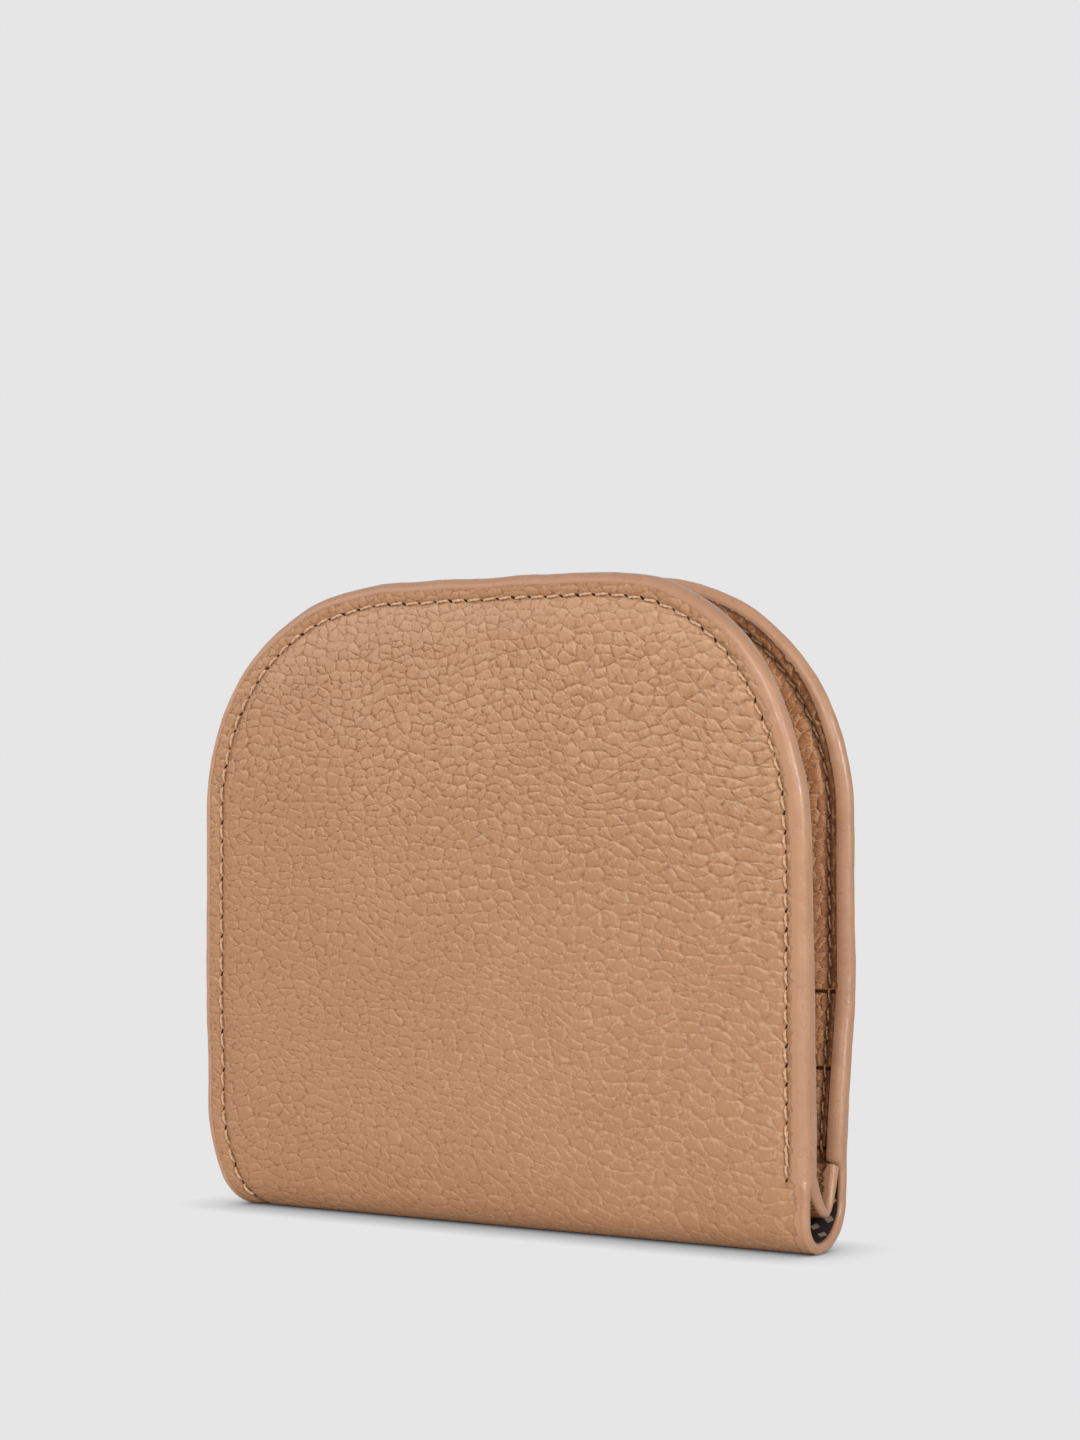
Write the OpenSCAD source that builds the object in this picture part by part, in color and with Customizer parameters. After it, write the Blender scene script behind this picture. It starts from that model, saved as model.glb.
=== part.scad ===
// Two-fold leather wallet with arched covers, standing closed on its fold.
// Millimetres, +Z up, the front cover faces -Y and the fold rests on z = 0.

/* [Covers] */
// Width of the closed wallet
cover_w = 102; // [99:1:124]
// Height from the fold to the top of the arch
cover_h = 91; // [86:1:112]
// Thickness over both closed covers
cover_t = 14.6; // [13.4:0.2:20]
// Radius of the two upper corners
top_corner_r = 32; // [20:1:42]

/* [Leather] */
// Thickness of the outer leather
shell_t = 1.2; // [0.8:0.1:1.6]
// Thickness of the inner leather panels
inner_t = 0.8; // [0.6:0.1:1.2]
// Thickness of the leather strips of the card pockets
strip_t = 0.3; // [0.3:0.05:0.6]
// Thickness of the upper pocket leather
pocket_t = 0.5; // [0.4:0.1:0.9]
// Depth of the painted edge bead, measured in the plane of a cover
coat_w = 0.9; // [0.5:0.1:1.6]

/* [Fold] */
// Height where the covers end and the bending strip begins
fold_z = 10; // [8:0.5:14]
// Bend radius under the front cover
fold_front_r = 4; // [3:0.5:5]
// Bend radius under the rear cover
fold_rear_r = 6; // [3:0.5:6]
// Radius of the lower left corner, which the fold cuts off
low_corner_r = 30; // [22:0.5:32]
// Height where the lower left corner begins
low_corner_z = 17.5; // [16:0.5:22]
// Height of the underside of the inner leather in the fold
inner_fold_z = 4.6; // [3.5:0.2:5.6]

/* [Card pockets] */
// Height of the edge of the pocket nearest the fold
slot_z = 13.6; // [13:0.2:16]
// Distance from one pocket edge to the next
slot_pitch = 10.4; // [8:0.2:12]
// Width of a bank card
card_w = 85.6; // [80:0.1:90]

/* [Zip] */
// Height of the middle of the zip
zip_z = 20.4; // [19:0.2:26]
// Distance from each side of the cover to the end of the meshed chain
zip_margin = 15.5; // [14:0.5:26]
// Distance from one tooth to the next on the same side
tooth_pitch = 1.4; // [1.3:0.1:2]
// Width of one zip tape
tape_w = 7; // [5:0.5:7]
// Length of the puller
puller_l = 14; // [9:0.5:14]
// Width of the puller
puller_w = 4.4; // [3.6:0.2:6]
// Length of the slider
slider_l = 8; // [7:0.2:9]
// Width of the slider across its mouth
slider_w = 7; // [6.6:0.1:7.2]

/* [Hidden] */
$fn = 72;

// Colours
leather = [0.73, 0.56, 0.42];
paint = [0.80, 0.62, 0.49];
cloth = [0.25, 0.17, 0.14];
board = [0.66, 0.63, 0.58];
tape = [0.45, 0.32, 0.22];
brass = [0.80, 0.66, 0.40];

// Thin layers that nobody resizes
board_t = 0.3;
lining_t = 0.15;
bag_wall = 0.15;
bag_t = 0.9;
tape_t = 0.3;

// Faces of the front cover, from outside to inside
yf_out = -cover_t / 2;
yf_board = yf_out + shell_t;
yf_lining = yf_board + board_t;
yf_bag = yf_lining + lining_t;
yf_tape = yf_bag + bag_t;
yf_inner = yf_tape + tape_t;
yf_in = yf_inner + inner_t;

// Faces of the rear cover, from outside to inside
yr_out = cover_t / 2;
yr_board = yr_out - shell_t;
yr_lining = yr_board - board_t;
yr_base = yr_lining - lining_t;
yr_lower = yr_base - inner_t;
yr_middle = yr_lower - strip_t;
yr_upper = yr_middle - strip_t;
yr_in = yr_upper - pocket_t;

// Plan of a cover
half_w = cover_w / 2;
arc_x = half_w - top_corner_r;
arc_z = cover_h - top_corner_r;
low_x = -half_w + low_corner_r;
seam_w = 5;

// Card pockets
strip_h = 15.5;
middle_z = slot_z + slot_pitch;
upper_z = middle_z + slot_pitch;
tail_half = card_w / 2 + 1;
tail_dx = max(0, tail_half + coat_w - arc_x);
tail_top = arc_z + sqrt(max(1, top_corner_r * top_corner_r - tail_dx * tail_dx)) - 3;

// Zip
zip_len = cover_w - 2 * zip_margin;
chain_x = zip_len / 2;
window_x = chain_x + 5;
window_h = slider_w / 2 + 0.5;
tape_edge = 1.2;
tape_x = window_x + 2.5;
tooth_root = 2.2;
tooth_cross = 0.55;
tooth_t = 0.62;
tooth_h = 1.1;
tooth_n = floor((zip_len - tooth_pitch) / tooth_pitch);
y_teeth = yf_inner + tooth_h;

// Slider and puller
slider_x = chain_x - slider_l / 4;
mouth_w = slider_w * 0.89;
neck_w = slider_w * 0.83;
post_l = 1.2;
post_w = 1.6;
post_x = slider_l / 2 - post_l - 0.2;
flange_t = 0.4;
crown_w = 1;
crown_l = slider_l / 2;
leg_l = 0.7;
stop_l = 1.5;
stop_gap = 0.3;
plate_t = 0.6;
y_plate = y_teeth + 0.1;
y_crown = y_plate + plate_t;
pin_r = 0.4;
y_pin = y_crown + 0.15 + pin_r;
y_bar = y_pin + pin_r + 0.15;
bar_t = 0.6;
eye_l = crown_l / 2 + 1.3;

// Stand a flat drawing of x and z up between two depths
module slab(y0, y1) {
    translate([0, y1, 0])
        rotate([90, 0, 0])
            linear_extrude(height = y1 - y0)
                children();
}

// Run a drawing of y and z along x
module run_along_x(x0, x1) {
    translate([x0, 0, 0])
        rotate([90, 0, 90])
            linear_extrude(height = x1 - x0)
                children();
}

// Everything inside the rounded lower left corner, drawn smaller by an inset
module low_corner_2d(inset) {
    translate([low_x, -1])
        square([half_w - low_x + 1, cover_h + 2]);
    translate([-half_w - 1, low_corner_z])
        square([cover_w + 2, cover_h]);
    translate([low_x, low_corner_z])
        circle(r = low_corner_r - inset);
}

// Outline of a cover, drawn smaller by an inset and cut off at a lower edge
module arch_2d(inset, low) {
    w = half_w - inset;
    intersection() {
        union() {
            translate([-w, low])
                square([2 * w, arc_z - low]);
            translate([-arc_x, arc_z])
                square([2 * arc_x, top_corner_r - inset]);
            for (side = [-1, 1])
                translate([side * arc_x, arc_z])
                    quarter_2d(top_corner_r - inset, side, 1);
        }
        low_corner_2d(inset);
    }
}

// Quarter of a disc, towards the given sides
module quarter_2d(r, side_x, side_y) {
    intersection() {
        circle(r = r);
        translate([min(0, side_x) * r, min(0, side_y) * r])
            square(r);
    }
}

// Trough with a flat floor and two rounded corners, filled, from its floor up to a top
module trough_2d(y0, y1, floor_z, r0, r1, top) {
    translate([y0 + r0, floor_z])
        square([y1 - y0 - r0 - r1, top - floor_z]);
    translate([y0, floor_z + r0])
        square([r0, top - floor_z - r0]);
    translate([y1 - r1, floor_z + r1])
        square([r1, top - floor_z - r1]);
    translate([y0 + r0, floor_z + r0])
        quarter_2d(r0, -1, -1);
    translate([y1 - r1, floor_z + r1])
        quarter_2d(r1, 1, -1);
}

// Bent sheet between a trough and the same trough drawn smaller by its thickness
module bent_sheet(y0, y1, floor_z, r0, r1, t, trim) {
    intersection() {
        run_along_x(-half_w + trim, half_w - trim)
            difference() {
                trough_2d(y0, y1, floor_z, r0, r1, fold_z);
                trough_2d(y0 + t, y1 - t, floor_z + t, r0 - t, r1 - t, fold_z + 1);
            }
        slab(-cover_t, cover_t)
            low_corner_2d(trim);
    }
}

// Section of a painted edge, its two outer corners rounded
module bead_2d(out, t) {
    r = coat_w * 0.8;
    translate([out - coat_w, -t / 2])
        square([coat_w - r, t]);
    translate([out - coat_w, -t / 2 + r])
        square([coat_w, t - 2 * r]);
    for (side = [-1, 1])
        translate([out - r, side * (t / 2 - r)])
            quarter_2d(r, 1, side);
}

// Painted edge round a cover, up one side, over the arch and down the other
module edge_bead(y0, y1) {
    t = y1 - y0;
    translate([0, (y0 + y1) / 2, 0]) {
        for (side = [0, 1])
            mirror([side, 0, 0])
                translate([arc_x, 0, arc_z])
                    rotate([90, 0, 0])
                        rotate_extrude(angle = 90)
                            bead_2d(top_corner_r, t);
        translate([0, 0, fold_z])
            linear_extrude(height = arc_z - fold_z)
                bead_2d(half_w, t);
        translate([0, 0, low_corner_z])
            linear_extrude(height = arc_z - low_corner_z)
                mirror([1, 0])
                    bead_2d(half_w, t);
        intersection() {
            translate([low_x, 0, low_corner_z])
                rotate([90, 0, 0])
                    rotate([0, 0, 180])
                        rotate_extrude(angle = 60)
                            bead_2d(low_corner_r, t);
            slab(-cover_t, cover_t)
                translate([-cover_w, fold_z])
                    square([2 * cover_w, cover_h]);
        }
        translate([arc_x, 0, 0])
            rotate([0, -90, 0])
                linear_extrude(height = 2 * arc_x)
                    bead_2d(cover_h, t);
    }
}

// Level strip between two heights
module strip_2d(half, low, top) {
    translate([-half, low])
        square([2 * half, top - low]);
}

// Level strip that reaches from edge to edge of a cover
module cover_strip_2d(low, top) {
    intersection() {
        arch_2d(coat_w, low);
        strip_2d(half_w, low, top);
    }
}

// Opening for the zip with round ends
module window_2d(half_x, half_z) {
    translate([-half_x + half_z, zip_z - half_z])
        square([2 * (half_x - half_z), 2 * half_z]);
    for (side = [-1, 1])
        translate([side * (half_x - half_z), zip_z])
            circle(r = half_z);
}

// Outer leather
module shell_front() {
    color(leather)
        slab(yf_out, yf_board)
            arch_2d(coat_w, fold_z);
}

module shell_fold() {
    color(leather)
        bent_sheet(yf_out, yr_out, 0, fold_front_r, fold_rear_r, shell_t, 0);
}

module shell_rear() {
    color(leather)
        slab(yr_board, yr_out)
            arch_2d(coat_w, fold_z);
}

// Dark lining behind the outer leather
module lining_front() {
    color(cloth)
        slab(yf_lining, yf_bag)
            arch_2d(coat_w, fold_z);
}

module lining_fold() {
    color(cloth)
        bent_sheet(yf_board, yr_board, shell_t, fold_front_r - shell_t,
            fold_rear_r - shell_t, lining_t, coat_w);
}

module lining_rear() {
    color(cloth)
        slab(yr_base, yr_lining)
            arch_2d(coat_w, fold_z);
}

// Boards that keep the covers flat
module stiffener_front() {
    color(board)
        slab(yf_board, yf_lining)
            arch_2d(seam_w, fold_z + 2);
}

module stiffener_rear() {
    color(board)
        slab(yr_lining, yr_board)
            arch_2d(seam_w, fold_z + 2);
}

// Strip that levels the seam around the coin pocket
module seam_filler_front() {
    color(board)
        slab(yf_bag, yf_inner)
            difference() {
                arch_2d(coat_w, fold_z);
                arch_2d(seam_w, fold_z - 1);
            }
}

// Inner leather, one piece over both covers and the fold
module inner_panel_front() {
    color(leather)
        slab(yf_inner, yf_in)
            difference() {
                arch_2d(coat_w, fold_z);
                window_2d(window_x, window_h);
            }
}

module inner_panel_fold() {
    y0 = yf_inner;
    y1 = yr_base;
    r = min((y1 - y0) / 2 - 0.4, fold_z - inner_fold_z - 0.4);
    color(leather)
        bent_sheet(y0, y1, inner_fold_z, r, r, inner_t, coat_w / 2);
}

module inner_panel_rear() {
    color(leather)
        slab(yr_lower, yr_base)
            arch_2d(coat_w, fold_z);
}

// Painted edges
module edge_coat_front() {
    color(paint)
        edge_bead(yf_out, yf_in);
}

module edge_coat_rear() {
    color(paint)
        edge_bead(yr_in, yr_out);
}

// Card pockets, open towards the fold
module card_pocket_lower() {
    color(leather)
        slab(yr_middle, yr_lower)
            cover_strip_2d(slot_z, slot_z + strip_h);
}

module card_pocket_middle() {
    color(leather)
        slab(yr_upper, yr_middle)
            cover_strip_2d(middle_z, middle_z + strip_h);
}

module card_pocket_upper() {
    color(leather)
        slab(yr_in, yr_upper)
            arch_2d(coat_w, upper_z);
}

module pocket_tail_lower() {
    color(cloth)
        slab(yr_lower - lining_t, yr_lower)
            strip_2d(tail_half, slot_z + strip_h, tail_top);
}

module pocket_tail_middle() {
    color(cloth)
        slab(yr_middle - lining_t, yr_middle)
            strip_2d(tail_half, middle_z + strip_h, tail_top);
}

// Cloth bag of the coin pocket, with its mouth behind the zip
module coin_pocket_bag() {
    color(cloth)
        difference() {
            slab(yf_bag, yf_tape)
                arch_2d(seam_w + 1, fold_z + 1.2);
            slab(yf_bag + bag_wall, yf_tape - bag_wall)
                arch_2d(seam_w + 2, fold_z + 2.2);
            slab(yf_tape - bag_t / 2, yf_tape + 1)
                window_2d(window_x, window_h + 0.2);
        }
}

// Zip tapes and chain
module zip_tape_upper() {
    color(tape)
        slab(yf_tape, yf_inner)
            strip_2d(tape_x, zip_z + tape_edge, zip_z + tape_edge + tape_w);
}

module zip_tape_lower() {
    color(tape)
        slab(yf_tape, yf_inner)
            strip_2d(tape_x, zip_z - tape_edge - tape_w, zip_z - tape_edge);
}

module tooth_row(start) {
    translate([-chain_x, yf_inner, tape_edge + 0.1])
        cube([zip_len, tooth_h * 0.6, tooth_root - tape_edge - 0.2]);
    for (i = [0 : tooth_n - 1])
        translate([start + i * tooth_pitch, yf_inner, 0]) {
            translate([0, 0, -tooth_cross + tooth_t / 2])
                cube([tooth_t, tooth_h, tooth_root + tooth_cross - tooth_t / 2]);
            translate([tooth_t / 2, tooth_h, -tooth_cross + tooth_t / 2])
                rotate([90, 0, 0])
                    cylinder(h = tooth_h, r = tooth_t / 2);
        }
}

module zip_teeth_upper() {
    color(brass)
        translate([0, 0, zip_z])
            tooth_row(-chain_x);
}

module zip_teeth_lower() {
    color(brass)
        translate([0, 0, zip_z])
            mirror([0, 0, 1])
                tooth_row(-chain_x + tooth_pitch / 2);
}

module zip_top_stops() {
    color(brass)
        for (side = [-1, 1])
            translate([slider_x + slider_l / 2 + stop_gap, yf_inner, zip_z + side * 1.9 - 0.6])
                cube([stop_l, tooth_h * 0.75, 1.2]);
}

module zip_bottom_stop() {
    color(brass)
        translate([-chain_x - stop_gap - stop_l, yf_inner, zip_z - tooth_root])
            cube([stop_l, tooth_h, 2 * tooth_root]);
}

// Slider plate seen from the front, the wide mouth towards +X
module slider_2d() {
    l = slider_l / 2;
    mouth = mouth_w / 2;
    neck = neck_w / 2;
    wide = slider_w / 2;
    polygon([[-l, -neck], [0, -mouth], [l * 0.7, -wide], [l, -mouth],
        [l, mouth], [l * 0.7, wide], [0, mouth], [-l, neck]]);
}

module zip_slider() {
    color(brass)
        translate([slider_x, 0, zip_z]) {
            slab(y_plate, y_crown)
                slider_2d();
            slab(yf_tape - 0.6, yf_tape - 0.1)
                slider_2d();
            slab(yf_tape - 0.6, y_crown)
                translate([post_x, -post_w / 2])
                    square([post_l, post_w]);
            for (side = [-1, 1])
                slab(yf_inner + 0.2, y_crown)
                    translate([-slider_l * 0.475, side * (neck_w - flange_t) / 2 - flange_t / 2])
                        square([slider_l * 0.825, flange_t]);
            for (side = [-1, 1])
                slab(y_plate, y_bar + bar_t)
                    translate([side * (crown_l - leg_l) / 2 - leg_l / 2, -crown_w / 2])
                        square([leg_l, crown_w]);
            slab(y_bar, y_bar + bar_t)
                translate([-crown_l / 2, -crown_w / 2])
                    square([crown_l, crown_w]);
        }
}

module zip_puller() {
    tip_r = puller_w / 2;
    color(brass)
        translate([slider_x, y_pin, zip_z]) {
            translate([0, 0, -tip_r])
                cylinder(h = puller_w, r = pin_r);
            slab(-pin_r, pin_r)
                difference() {
                    union() {
                        translate([-puller_l + tip_r, -tip_r])
                            square([puller_l - tip_r, puller_w]);
                        translate([-puller_l + tip_r, 0])
                            circle(r = tip_r);
                    }
                    translate([-eye_l, -crown_w])
                        square([eye_l - pin_r + 0.05, 2 * crown_w]);
                    translate([-puller_l + tip_r, 0])
                        circle(r = tip_r * 0.4);
                }
        }
}

shell_front();
shell_fold();
shell_rear();
lining_front();
lining_fold();
lining_rear();
stiffener_front();
stiffener_rear();
seam_filler_front();
inner_panel_front();
inner_panel_fold();
inner_panel_rear();
edge_coat_front();
edge_coat_rear();
card_pocket_lower();
card_pocket_middle();
card_pocket_upper();
pocket_tail_lower();
pocket_tail_middle();
coin_pocket_bag();
zip_tape_upper();
zip_tape_lower();
zip_teeth_upper();
zip_teeth_lower();
zip_top_stops();
zip_bottom_stop();
zip_slider();
zip_puller();
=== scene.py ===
import math
from functools import partial, reduce

import bmesh
import bpy
import numpy as np
from mathutils import Matrix


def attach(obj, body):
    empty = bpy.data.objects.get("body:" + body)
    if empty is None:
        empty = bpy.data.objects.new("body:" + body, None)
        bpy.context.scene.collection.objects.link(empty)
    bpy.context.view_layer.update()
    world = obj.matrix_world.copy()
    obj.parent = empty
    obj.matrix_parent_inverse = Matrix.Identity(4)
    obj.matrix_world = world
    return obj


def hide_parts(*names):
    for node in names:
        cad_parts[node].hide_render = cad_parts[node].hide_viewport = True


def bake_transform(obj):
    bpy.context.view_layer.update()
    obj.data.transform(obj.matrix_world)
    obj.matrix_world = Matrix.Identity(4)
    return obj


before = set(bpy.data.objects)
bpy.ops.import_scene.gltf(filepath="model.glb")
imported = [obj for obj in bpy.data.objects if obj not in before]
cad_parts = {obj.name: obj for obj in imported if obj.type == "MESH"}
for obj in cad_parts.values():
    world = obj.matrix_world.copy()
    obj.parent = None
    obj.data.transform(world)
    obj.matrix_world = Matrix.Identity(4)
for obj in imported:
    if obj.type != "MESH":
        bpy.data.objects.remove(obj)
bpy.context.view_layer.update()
scene = bpy.context.scene
mm, pi = 0.001, math.pi
uvUnit = 100.0  # millimetres in one unit of uv
farMark = 20.0  # mark of a point that is far from the rim or the seam

# Sizes in millimetres, as the solids have them.
wallet = {"width": 102.0, "height": 91.0, "half": 7.3, "topRadius": 32.6, "lowRadius": 30.0,
          "lowHeight": 17.5, "seamInset": 3.1, "shellRound": 0.7, "shell": 1.45}
front = {"name": "Front", "sign": -1.0, "slit": 9.0, "body": "front_half", "round": 1.4, "roll": 1.4, "inner": 3.6,
         "start": (0, -0.002, 0.0005), "end": (0, -0.005, 0.009)}
rear = {"name": "Rear", "sign": 1.0, "slit": 10.7, "body": "rear_half", "round": 0.9, "roll": 1.9, "inner": 3.85,
        "start": (0, 0.0015, 0.0005), "end": (0, 0.0035, 0.009)}
halfWidth = wallet["width"] / 2
topRadius, seamInset = wallet["topRadius"], wallet["seamInset"]
arcX = halfWidth - topRadius
lowX = -halfWidth + wallet["lowRadius"]


def ease(value, low, high):  # smooth step from 0 at low to 1 at high
    t = np.clip((value - low) / (high - low), 0, 1)
    return t * t * (3 - 2 * t)


def hill(value, middle, width):  # a soft bump of height 1
    return np.exp(-((value - middle) / width) ** 2)


def together(*values):  # arrays brought to one shape and put side by side in a new last axis
    return np.stack(np.broadcast_arrays(*values), -1)


# Section of the outer leather, from under the fold up each cover. The front turns a quarter circle and goes straight
# up. Under the rear it is a quarter of an ellipse from the front's lowest point, and the rear leans in at the fold.
fold = {"low": -3.1, "frontRadius": 4.2, "rearReach": 7.1, "rearRise": 6.7, "end": 93, "points": 300}
turn = np.linspace(0, pi / 2, 90)
ellipse = together(fold["low"] + fold["rearReach"] * np.sin(turn), fold["rearRise"] * (1 - np.cos(turn)))
underFront, underRear = ellipse[ellipse[:, 0] < 0], ellipse[ellipse[:, 0] > 0]
middle = np.array([[0.0, np.interp(0, ellipse[:, 0], ellipse[:, 1])]])
bendFront = together(fold["low"] - fold["frontRadius"] * np.sin(turn), fold["frontRadius"] * (1 - np.cos(turn)))
heights = np.linspace(fold["frontRadius"], fold["end"], fold["points"])[1:]
frontLine = np.concatenate([middle, underFront[::-1], bendFront[1:], together(-wallet["half"], heights)])
heights = np.linspace(fold["rearRise"], fold["end"], fold["points"])[1:]
lean = 0.66 + 2.73 * (1 - ease(heights, 4, 40)) - 0.4 * hill(heights, 34, 9) + 0.25 * hill(heights, 72, 9)
lean = lean + (wallet["half"] - ellipse[-1, 0] - lean[0]) * (1 - ease(heights, 7, 14))
rearLine = np.concatenate([middle, underRear, together(wallet["half"] - lean, heights)])
for side, line in ((front, frontLine), (rear, rearLine)):
    steps = np.hypot(*np.diff(line, axis=0).T)
    side["run"], side["y"], side["z"] = np.concatenate([[0], np.cumsum(steps)]), line[:, 0], line[:, 1]
    tangent = np.gradient(line, axis=0) / np.hypot(*np.gradient(line, axis=0).T)[:, None]
    side["ny"], side["nz"] = side["sign"] * tangent[:, 1], -side["sign"] * tangent[:, 0]


# The outer leather is unrolled to x and run, the length along this section. rail turns run into y, z and the normal.
def rail(run, side):
    return [np.interp(run, side["run"], side[key]) for key in ("y", "z", "ny", "nz")]


def runAt(z, side):  # run of a height above the bend
    lowest = int(np.argmin(side["z"]))
    return np.interp(z, side["z"][lowest:], side["run"][lowest:])


def topRun(side):  # run of the top of the arch
    return runAt(wallet["height"], side)


# Distance to the nearest cut edge: straight sides, two round top corners and the round lower left corner.
def rimDistance(x, run, side):
    up = run - (topRun(side) - topRadius)
    out = np.abs(x) - arcX
    corner = topRadius - np.hypot(np.maximum(out, 0), np.maximum(up, 0))
    plain = np.minimum(halfWidth - np.abs(x), topRun(side) - run)
    d = np.where((out > 0) & (up > 0), corner, plain)
    z = rail(run, side)[1]
    low = wallet["lowRadius"] - np.hypot(x - lowX, z - wallet["lowHeight"])
    return np.where((x < lowX) & (z < wallet["lowHeight"]), np.minimum(d, low), d)


def edgeX(run, inset, side):  # left and right ends of a row, moved in by inset
    up = np.maximum(run - (topRun(side) - topRadius), 0)
    right = arcX + np.sqrt(np.maximum((topRadius - inset) ** 2 - up ** 2, 0))
    below = np.maximum(wallet["lowHeight"] - rail(run, side)[1], 0)
    left = lowX - np.sqrt(np.maximum((wallet["lowRadius"] - inset) ** 2 - below ** 2, 0))
    return np.where(below > 0, left, -right), right


def fuller(x, z):  # the rear leans in less away from the open end, which leaves room for the lifted puller
    return 2.0 * (1 - ease(x, 20, 46)) * ease(z, 3, 9) * (1 - ease(z, 14, 42))


# Small wander of the sewn outline, and the fuller middle of the rear.
def drift(x, y, z, side):
    newX = x + np.clip(-x / halfWidth, 0, 1) ** 2 * (0.45 * hill(z, 19, 6) + 0.08)
    newZ = z + ease(z, 50, 91) * (0.2 * hill(x, 9, 8) - 0.40 * hill(x, -25, 8) + 0.06 * np.sin(x * 0.55 + side["sign"]))
    if side["sign"] < 0:
        newX = newX - 0.9 * hill(z, 69, 10) * ease(x, 22, 46)
        newZ = newZ + 0.35 * hill(x, 30, 10) * ease(z, 60, 85)
    else:
        y = y + fuller(x, z)
    return newX, y, newZ


# A point of the unrolled cover, a depth in from the outer leather.
def place(x, run, depth, side):
    y, z, ny, nz = rail(run, side)
    x, y, z = drift(*np.broadcast_arrays(x, y, z), side)
    return together(x, y - ny * depth, z - nz * depth)


def openEnd(x, z, side):  # 1 at the open end of the fold, below the slit between the leathers
    return np.where(x > 0, 1 - ease(z, side["slit"] - 0.1, side["slit"] + 1.0), 0.0)


def edgeRadius(x, z, side):  # rounding of the outer edge, less at the front's left end and at the open end
    plain = side["round"] - 0.6 * (side["sign"] < 0) * ease(-x, 36, 46)
    return plain + (wallet["shellRound"] - plain) * openEnd(x, z, side)


def rimDrop(d, r):  # how far a rounded edge falls away at a distance from the edge
    return r - np.sqrt(np.maximum(r * r - np.maximum(r - d, 0) ** 2, 0))


# Outer face: swells inside the seam, dips along it, rounds off at the rim and waves a little.
def coverRelief(x, run, side):
    d = rimDistance(x, run, side)
    z = rail(run, side)[1]
    sewn = np.where(x > 0, ease(z, 6.5, 10.5), 1.0)
    free = ease(z, 1.0, 8.0)
    puff = (0.34 * (1 - np.exp(-np.maximum(d - seamInset, 0) / 2.6)) + 0.25 * ease(d, 3, 30)) * free
    groove = -0.34 * sewn * hill(d, seamInset, 0.62)
    border = 0.10 * np.sin(np.pi * np.clip((d - 1.4) / (seamInset - 1.4), 0, 1)) * free
    wave = free * (0.09 * np.sin(x * 0.13 + z * 0.06 + 1.1) + 0.08 * np.sin(z * 0.11 - x * 0.05))
    lump = 0.22 * hill(x, 22, 6) * hill(z, 19.5, 3.5) if side["sign"] < 0 else 0.0
    return puff + groove + border + wave * ease(d, 2, 9) + lump - rimDrop(d, edgeRadius(x, z, side))


def rollReach(z, side):  # how far the painted edge rolls over the inner face
    return side["roll"] - 0.5 * (side["sign"] > 0) * ease(z, 64, 80)


def rimThick(z, side):  # thickness of the sewn edge
    if side["sign"] < 0:
        return 2.45 + 0.95 * (1 - ease(z, 14, 60)) + 0.5 * ease(z, 72, 88)
    return 1.95 + 0.55 * (1 - ease(z, 14, 60))


# Rows and columns over a cover between two heights: level rows, closer together in the round corners.
# Without a low height they start under the fold, and without a high one they go to the top of the arch.
def coverGrid(side, inset, low, high, rows, columns):
    arcRun = topRun(side) - topRadius
    start = 0.0 if low is None else runAt(low, side)
    if high is None:
        bend = np.sin(np.linspace(0, pi / 2, rows // 2 + 1)[1:])
        run = np.concatenate([np.linspace(start, arcRun, rows), arcRun + (topRadius - inset) * bend])
    else:
        run = np.linspace(start, runAt(high, side), rows)
    left, right = edgeX(run, inset, side)
    x = left[:, None] + (right - left)[:, None] * np.linspace(0, 1, columns)
    return x, run[:, None] + 0 * x


# Path round a cover at an inset: up the right side, over the arch, down the left and under the fold.
def outlinePath(inset, side, runRight, runEnd, step=0.25):
    top, r = topRun(side), topRadius - inset
    arcRun = top - topRadius
    turn = np.linspace(0, pi / 2, 160)
    sideRun, flat = np.linspace(runRight, arcRun, 160), np.linspace(arcX, -arcX, 80)
    down = np.linspace(arcRun, runEnd, 260)
    x = np.concatenate([0 * sideRun + halfWidth - inset, arcX + r * np.cos(turn), flat, -arcX - r * np.sin(turn),
                        edgeX(down, inset, side)[0]])
    run = np.concatenate([sideRun, arcRun + r * np.sin(turn), 0 * flat + top - inset, arcRun + r * np.cos(turn), down])
    return evenPath(x, run, step)


def evenPath(x, run, step):  # the same path with evenly spaced points
    length = np.concatenate([[0], np.cumsum(np.hypot(np.diff(x), np.diff(run)))])
    keep = np.concatenate([[True], np.diff(length) > 1e-9])
    s = np.linspace(0, length[-1], int(length[-1] / step) + 1)
    return np.interp(s, length[keep], x[keep]), np.interp(s, length[keep], run[keep]), s


def outward(x, run):  # unit normal of a path that keeps the cover on its left
    tx, tr = np.gradient(x), np.gradient(run)
    size = np.hypot(tx, tr)
    return tr / size, -tx / size


def hum(s, seed):  # slow unevenness along a path, about -1 to 1
    return 0.5 * np.sin(s * 0.31 + seed) + 0.3 * np.sin(s * 0.83 + 2.1 * seed) + 0.2 * np.sin(s * 1.9 + 0.7 * seed)


def addObject(name, data):  # made and put in the scene
    obj = bpy.data.objects.new(name, data)
    scene.collection.objects.link(obj)
    return obj


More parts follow.
